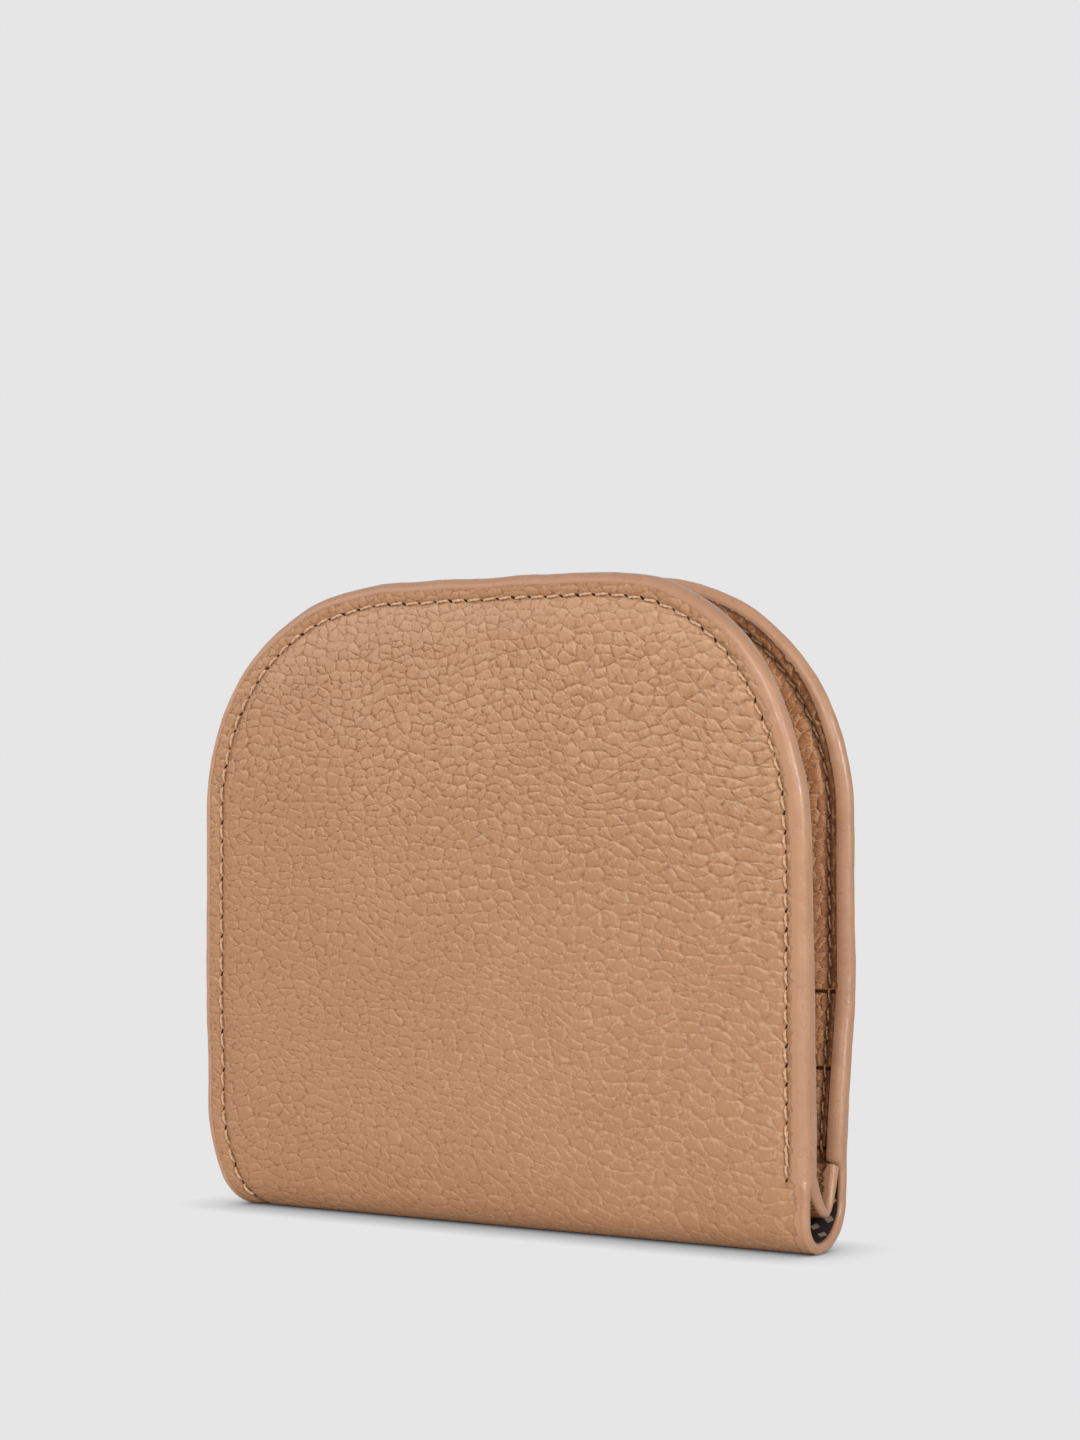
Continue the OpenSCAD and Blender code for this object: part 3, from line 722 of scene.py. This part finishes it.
x, run = coverGrid(front, cover["inset"], 9.6, None, 170, cover["columns"])
away = windowDistance(x, rail(run, front)[1])
keep = (away[:-1, :-1] + away[1:, 1:]) / 2 > 0.25
d = rimDistance(x, run, front)
part = {"points": place(x, run, frontInner(x, run), front), "uv": together(x + page(2), run),
        "rim": d, "seam": np.abs(d - seamInset), "flip": True, "keep": keep}
turn = np.linspace(0, 2 * pi, 240, endpoint=False)
straight = zipWindow["straight"]
edge = np.array([[1.0, 0.02], [0.75, 0.16], [0.4, 0.22], [0.1, 0.12], [-0.05, -0.15], [0.0, -0.5], [0.3, -0.85]])
c, s = np.cos(turn), np.sin(turn)
flatPart = np.abs(c) < 0.5
lipX = np.where(flatPart, c / 0.5, np.sign(c)) * straight
endTurn = np.where(c > 0, 1.5 * np.arctan2(s, c), pi - 1.5 * np.arctan2(s, -c))
endTurn = np.where(flatPart, np.sign(s) * pi / 2, endTurn)
ringX = lipX[:, None] + (zipWindow["halfZ"] + edge[:, 0]) * np.cos(endTurn)[:, None]
ringZ = zipWindow["z"] + (zipWindow["halfZ"] + edge[:, 0]) * np.sin(endTurn)[:, None]
ringRun = runAt(ringZ, front)
lip = {"points": place(ringX, ringRun, frontInner(ringX, ringRun) + edge[:, 1], front),
       "uv": together(ringX + page(2), ringRun), "loop": True}
innerFront = makePiece("innerLeatherFront", [part, lip], insideLeather)
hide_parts("inner_panel_front")
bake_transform(innerFront)

# Inner leather of the rear cover and its card pockets, which open towards the fold.
pockets = [("innerLeatherRear", "inner_panel_rear", 10.2, 22.0, 2.75),
           ("pocketLower", "card_pocket_lower", 13.6, 29.0, 3.12),
           ("pocketMiddle", "card_pocket_middle", 24.0, 39.5, 3.48),
           ("pocketUpper", "card_pocket_upper", 34.4, None, 3.85)]  # name, node, lower and upper end, depth
for number, (name, node, low, high, level) in enumerate(pockets):
    rows = 150 if high is None else 44
    x, run = coverGrid(rear, cover["inset"], low, high, rows, cover["columns"])
    depth = innerDepth(x, run, rear, level)
    d = rimDistance(x, run, rear)
    sag = 0.25 * np.cos(x / halfWidth * pi / 2) * np.exp(-(run - run[0]) / 6) * (number > 0)
    rim = d - 0.05 + 0.3 * ease(rail(run, rear)[1], 64, 80)
    across = page(3 + number) - 45  # the grain runs along the pockets
    parts = [{"points": place(x, run + sag * 0.6, depth + sag, rear), "rim": rim, "seam": np.abs(d - seamInset),
              "uv": together(run + across, x + 80)}]
    if number > 0:  # the cut edge of the pocket, turned in, with a dark strip of painted shade in the opening below it
        lipIn = np.linspace(0, pi, 7)[:, None]
        lx = x[0] + 0 * lipIn
        lr = run[0] + sag[0] * 0.6 - 0.2 * np.sin(lipIn)
        ld = depth[0] + sag[0] - 0.22 + 0.22 * np.cos(lipIn)
        parts.append({"points": place(lx, lr, ld, rear), "uv": together(lr + across, lx + 80),
                      "rim": rim[0], "flip": True})
        gap = np.linspace(-0.62, 0.1, 5)[:, None]
        gx, gr = x[0] + 0 * gap, run[0] + gap + 0 * x[0]
        deep = np.minimum(innerDepth(gx, gr, rear, pockets[number - 1][4]), depth[0] - 0.12) + 0.06
        dark = {"points": place(gx, gr, deep, rear), "uv": together(gx, gr)}
        shadeStrip = makePiece("paintedShadeUnder" + name.capitalize(), [dark], needleHole)
        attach(shadeStrip, "rear_half")
    obj = makePiece(name, parts, insideLeather)
    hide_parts(node)
    if number == 0:
        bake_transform(obj)
    else:
        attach(obj, "rear_half")
print("inner leather and card pockets made")

# Inner leather through the fold: a V at the open end, wider at its legs, that drops onto the lining at the sewn end.
innerFold = {"rows": 120, "columns": 40, "start": (-1.0, 5.2), "reach": (3.0, 4.8), "hinge": (4.0, 3.3)}


def foldFaces(x, t):  # upper and lower face: legs curve down from both covers to the bottom of the V
    sewn = 1 - ease(x, -40, -14)
    a, b = np.clip(1 - 2 * t, 0, 1), np.clip(2 * t - 1, 0, 1)
    upY = -1.0 - 2.75 * a ** 0.9 + 1.75 * b ** 0.8
    upZ = 5.9 + 4.9 * a ** 1.5 + 5.6 * b ** 1.4
    downY = -1.0 - 4.7 * a ** 0.95 + 3.3 * b ** 0.9
    downZ = 4.55 + 4.6 * a ** 1.6 + 6.2 * b ** 1.5
    flatZ = 1.9 + 8.0 * a ** 5 + 8.6 * b ** 5
    upZ = upZ + (np.minimum(flatZ + 0.5, upZ) - upZ) * sewn
    downZ = downZ + (np.minimum(flatZ, downZ) - downZ) * sewn
    rearPart = ease(b, 0, 0.7)
    return (upY + fuller(x, upZ) * rearPart, upZ), (downY + fuller(x, downZ) * rearPart, downZ)


def openLength(y, z, side):  # length along the fold with the covers laid open, so that its grain isn't stretched there
    (startY, startZ), (reachY, reachZ), (hingeY, hingeZ) = (innerFold[key] for key in ("start", "reach", "hinge"))
    sign = side["sign"]
    share = ease((y - startY) * sign * reachY + (z - startZ) * reachZ, 0, reachY ** 2 + reachZ ** 2)
    openY, openZ = sign * (hingeY + z - hingeZ), hingeZ - sign * (y - sign * hingeY)
    flat = np.hypot(np.diff(y + (openY - y) * share), np.diff(z + (openZ - z) * share))
    return 40 + pebble["page"] * (sign > 0) + np.concatenate([[0], np.cumsum(flat)])


for side, span in ((front, (0.0, 0.5)), (rear, (0.5, 1.0))):
    t = np.linspace(span[0], span[1], innerFold["columns"])[None, :]
    leftEnd = lowX - math.sqrt((wallet["lowRadius"] - 1.0) ** 2 - (wallet["lowHeight"] - 3.0) ** 2)
    x = np.linspace(leftEnd, halfWidth - 0.75, innerFold["rows"])[:, None]
    (upY, upZ), (downY, downZ) = foldFaces(x, t)
    rim = np.minimum(halfWidth - x, x - x[0])
    uv = together(x + page(7), openLength(upY[-1], upZ[-1], side))
    grid = together(x, upY, upZ)
    under = together(x, downY, downZ)
    obj = makePiece("innerFold" + side["name"], [{"points": grid, "uv": uv, "rim": rim},
                                                 {"points": under, "uv": uv + 30, "flip": True}], insideLeather)
    bead = np.linspace(-pi / 2, pi / 2, 11)
    share = 0.5 + 0.52 * np.sin(bead)
    endY, endZ = [low[-1][:, None] * (1 - share) + high[-1][:, None] * share
                  for low, high in ((downY, upY), (downZ, upZ))]
    endX = halfWidth - 0.85 + 0.80 * np.cos(bead)
    part = {"points": together(endX, endY, endZ), "rim": 0.0,
            "uv": together(t.T * 14, bead * 2), "flip": True}
    edgeObj = makePiece("innerFoldEdge" + side["name"], [part], edgePaint)
    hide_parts("inner_panel_fold")
    for piece in (obj, edgeObj):
        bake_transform(piece)
print("inner fold made")


# Dark lining inside the outer leather of the fold.
foldLining = {"top": 13, "inset": 1.5, "past": 0.8, "rows": 40, "columns": 120}
for side in (front, rear):
    run = np.linspace(0, runAt(foldLining["top"], side), foldLining["rows"])[:, None]
    left, right = edgeX(run, foldLining["inset"], side)
    x = left + (right + foldLining["past"] - left) * np.linspace(0, 1, foldLining["columns"])
    part = {"points": place(x, run + 0 * x, wallet["shell"] + 0 * x, side), "flip": side["sign"] < 0,
            "uv": together(x + 60, run * side["sign"] + 60)}
    obj = makePiece("foldLining" + side["name"], [part], lining)
    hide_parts("lining_fold")
    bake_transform(obj)

hidden = {"rows": 26, "columns": 40}


# Hidden layers: a flat ring of two faces, its rows level across the cover.
def plate(name, side, inset, low, high, depths, material, node, limit=None):
    x, run = coverGrid(side, inset, low, high, hidden["rows"], hidden["columns"])
    if limit:
        x = np.clip(x, -limit, limit)
    rows = np.concatenate([[0], np.arange(len(x)), [-1]])  # both ends shut to a line
    x, run = x[rows], run[rows]
    ringX = np.concatenate([x, x[:, ::-1]], 1)
    ringRun = np.concatenate([run, run[:, ::-1]], 1)
    deep = np.concatenate([0 * x + depths[0], 0 * x + depths[1]], 1)
    deep[[0, -1]] = sum(depths) / 2
    part = {"points": place(ringX, ringRun, deep, side), "uv": together(ringX + 60, ringRun), "ring": True,
            "flip": side["sign"] > 0}
    obj = makePiece(name, [part], material)
    soft = bmesh.new()
    soft.from_mesh(obj.data)
    bmesh.ops.remove_doubles(soft, verts=soft.verts, dist=1e-6)
    soft.to_mesh(obj.data)
    soft.free()
    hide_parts(node)
    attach(obj, side["body"])


plate("boardFront", front, 5.0, 12.0, None, (1.3, 1.6), board, "stiffener_front")
plate("boardRear", rear, 5.0, 12.0, None, (1.3, 1.6), board, "stiffener_rear")
plate("liningFront", front, 4.6, 13.0, None, (1.65, 1.80), lining, "lining_front")
plate("liningRear", rear, 4.6, 13.0, None, (1.65, 1.80), lining, "lining_rear")
plate("tailLower", rear, 6.0, 29.0, 74.0, (2.72, 2.85), plainCloth, "pocket_tail_lower", 43.8)
plate("tailMiddle", rear, 6.0, 39.5, 74.0, (2.95, 3.10), plainCloth, "pocket_tail_middle", 43.8)
plate("coinBag", front, 6.0, 11.5, None, (1.85, 2.0), plainCloth, "coin_pocket_bag")
filler = {"inset": 2.9, "end": runAt(10.5, front), "outer": 1.83, "least": 1.9, "under": 0.14}
fx, fr, fs = outlinePath(filler["inset"], front, filler["end"], filler["end"], 1.0)
nx, nr = outward(fx, fr)
across = np.array([-1.4, -0.6, 0.0, 0.6, 1.2, 1.2, 0.6, 0.0, -0.6, -1.4])
gx, gr = fx[:, None] + across * nx[:, None], fr[:, None] + across * nr[:, None]
deep = np.maximum(frontInner(gx, gr) - filler["under"], filler["least"])
deep = np.where(np.arange(len(across)) < 5, filler["outer"], deep)
part = {"points": place(gx, gr, deep, front), "ring": True,
        "uv": together(fs[:, None], across + 9 * deep)}
obj = makePiece("seamFiller", [part], board)
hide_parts("seam_filler_front")
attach(obj, "front_half")
print("hidden layers made")


# Thread on the inner faces and round the zip.
def rearInner(x, run):  # the rear face steps up at each pocket
    z = rail(run, rear)[1]
    level = pockets[0][4]
    for (*_, under), (_, _, low, _, over) in zip(pockets, pockets[1:]):
        level = level + (over - under) * ease(z, low - 0.1, low + 0.1)
    return innerDepth(x, run, rear, level)


inside = dict(stitch, face=-1.0, rise=0.36, hole=(0.16, 0.34), ply=0.072, radius=0.100)
for name, side, depthAt in (("innerThreadFront", front, frontInner), ("innerThreadRear", rear, rearInner)):
    x, run, s = outlinePath(seamInset, side, runAt(side["slit"] + 0.8, side), runAt(11.0, side))
    strands, hole = sewPath(x, run, s, depthAt, side, inside)
    holes = makePiece(name.replace("Thread", "Holes"), [hole], needleHole)
    obj = makePiece(name, strands, shadedInnerThread)
    for piece in (obj, holes):
        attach(piece, side["body"])
half = np.linspace(0, pi, 60)
line, bow = np.linspace(-straight, straight, 90), zipWindow["seam"] * np.sin(half)
loopX = np.concatenate([line, straight + bow, -line, -straight - bow])
level = np.concatenate([0 * line - 1, -np.cos(half), 0 * line + 1, np.cos(half)])
loopZ = zipWindow["z"] + zipWindow["seam"] * level
x, run, s = evenPath(loopX, runAt(loopZ, front), 0.25)
strands, hole = sewPath(x, run, s, frontInner, front, dict(inside, start=0.0, stop=0.0))
for obj in (makePiece("zipThread", strands, shadedInnerThread), makePiece("zipHoles", [hole], needleHole)):
    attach(obj, "front_half")
print("inner seams sewn")

# Zip tapes: thin woven strips with a corded edge along the teeth, slightly wavy.
tape = {"halfX": 43.0, "near": 1.2, "wide": 7.0, "top": -4.49, "thick": 0.3, "cord": 0.16}
for name, way in (("Upper", 1.0), ("Lower", -1.0)):
    across = np.concatenate([np.linspace(0, 1, 15), np.linspace(1, 0, 15)])
    cord = tape["cord"] * hill(across * tape["wide"], 0.45, 0.35)
    face = np.where(np.arange(30) < 15, cord, -tape["thick"])
    along = np.linspace(-tape["halfX"], tape["halfX"], 120)[:, None]
    ripple = 0.03 * np.sin(along * 0.9 + way) * across
    spotZ = zipWindow["z"] + way * (tape["near"] + across * tape["wide"])
    points = together(along, tape["top"] + face + ripple, spotZ)
    part = {"points": points, "uv": together(along, spotZ), "ring": True, "flip": way > 0}
    obj = makePiece("tape" + name, [part], zipTape)
    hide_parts("zip_tape_" + name.lower())
    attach(obj, "front_half")

# The other zip pieces keep their solids and get their finish.
for name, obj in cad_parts.items():
    if name.startswith("zip_") and not name.startswith("zip_tape"):
        obj.data.materials.clear()
        obj.data.materials.append(metal)
for name in ("zip_slider", "zip_puller"):
    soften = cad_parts[name].modifiers.new("softEdges", "BEVEL")
    soften.width = 0.00018
    soften.segments = 2
    soften.limit_method = "ANGLE"


def rayMask(tree, *kinds):  # 1 for rays of any of these kinds
    path = tree.nodes.new("ShaderNodeLightPath")
    return reduce(partial(calc, "MAXIMUM"), [path.outputs[kind] for kind in kinds])


def stand(obj, at, back, right):  # a place and a direction: the object looks away from back
    axis = right, np.cross(back, right), back, at
    obj.matrix_world = Matrix([[v[k] for v in axis] for k in range(3)] + [[0, 0, 0, 1]])


paleGrey = 0.791


# Floor: the pale backdrop colour for the camera, darker where the wallet shuts out light from the floor near it.
def buildFloor(tree, shader):
    dress(shader, (paleGrey, paleGrey, paleGrey, 1), 0.9)
    shade = tree.nodes.new("ShaderNodeAmbientOcclusion")
    shade.samples = 16
    wire(shade, {"Distance": 0.0085})
    glow = addNode("Emission", {"Strength": times(calc("POWER", shade.outputs["AO"], 0.85), paleGrey)})
    seen = rayMask(tree, "Is Camera Ray", "Is Glossy Ray")
    mixed = addNode("MixShader", {0: seen, 1: shader.outputs[0], 2: glow.outputs[0]})
    wire(tree.nodes["Material Output"], {"Surface": mixed.outputs[0]})


floorMesh = bpy.data.meshes.new("floor")
floorMesh.from_pydata([(-3, -3, 0), (3, -3, 0), (3, 3, 0), (-3, 3, 0)], [], [(0, 1, 2, 3)])
floorMesh.materials.append(newMaterial("paleFloor", buildFloor))
floor = addObject("floor", floorMesh)

world = bpy.data.worlds.new("studio")
scene.world = world
world.use_nodes = True
seen = rayMask(world.node_tree, "Is Camera Ray", "Is Glossy Ray", "Is Transmission Ray")
strength = ramp(seen, 0.0, 1.0, 0.28, paleGrey)
wire(world.node_tree.nodes["Background"], {"Strength": strength, "Color": (1, 1, 1, 1)})

lamps = {"key": {"at": (0.18, -0.85, 0.42), "size": 0.30, "power": 2.3},
         "left": {"at": (-0.70, -0.60, 0.40), "size": 0.6, "power": 2.0},
         "right": {"at": (0.66, -0.50, 0.28), "size": 0.20, "power": 2.85},
         "back": {"at": (-0.30, 0.85, 0.20), "size": 0.5, "power": 3.0}}
lampAim = (0, 0, 0.045)
for name, lamp in lamps.items():
    data = bpy.data.lights.new(name, "AREA")
    data.size, data.energy = lamp["size"], lamp["power"]
    obj = addObject(name, data)
    obj.visible_glossy = name != "back"  # it would draw a hard line along the edge paint
    back = np.subtract(lamp["at"], lampAim)
    right = np.cross((0, 0, 1), back)
    stand(obj, lamp["at"], back / np.linalg.norm(back), right / np.linalg.norm(right))

view = {"yaw": 33.756, "pitch": -1.22, "distance": 442.294, "aside": 7.548, "above": 26.049, "lens": 78.991,
        "target": (0, -7.3, 45.0)}
yaw, pitch = math.radians(view["yaw"]), math.radians(view["pitch"])
back = np.array([math.sin(yaw) * math.cos(pitch), -math.cos(yaw) * math.cos(pitch), math.sin(pitch)])
right = np.array([math.cos(yaw), math.sin(yaw), 0.0])
up = np.cross(back, right)
spot = (view["target"] + back * view["distance"] + right * view["aside"] + up * view["above"]) * mm
cameraData = bpy.data.cameras.new("camera")
cameraData.lens, cameraData.sensor_width, cameraData.clip_start = view["lens"], 36.0, 0.01
camera = addObject("camera", cameraData)
stand(camera, spot, back, right)
scene.camera = camera
scene.view_settings.view_transform = "Standard"
print("floor, light and camera set")
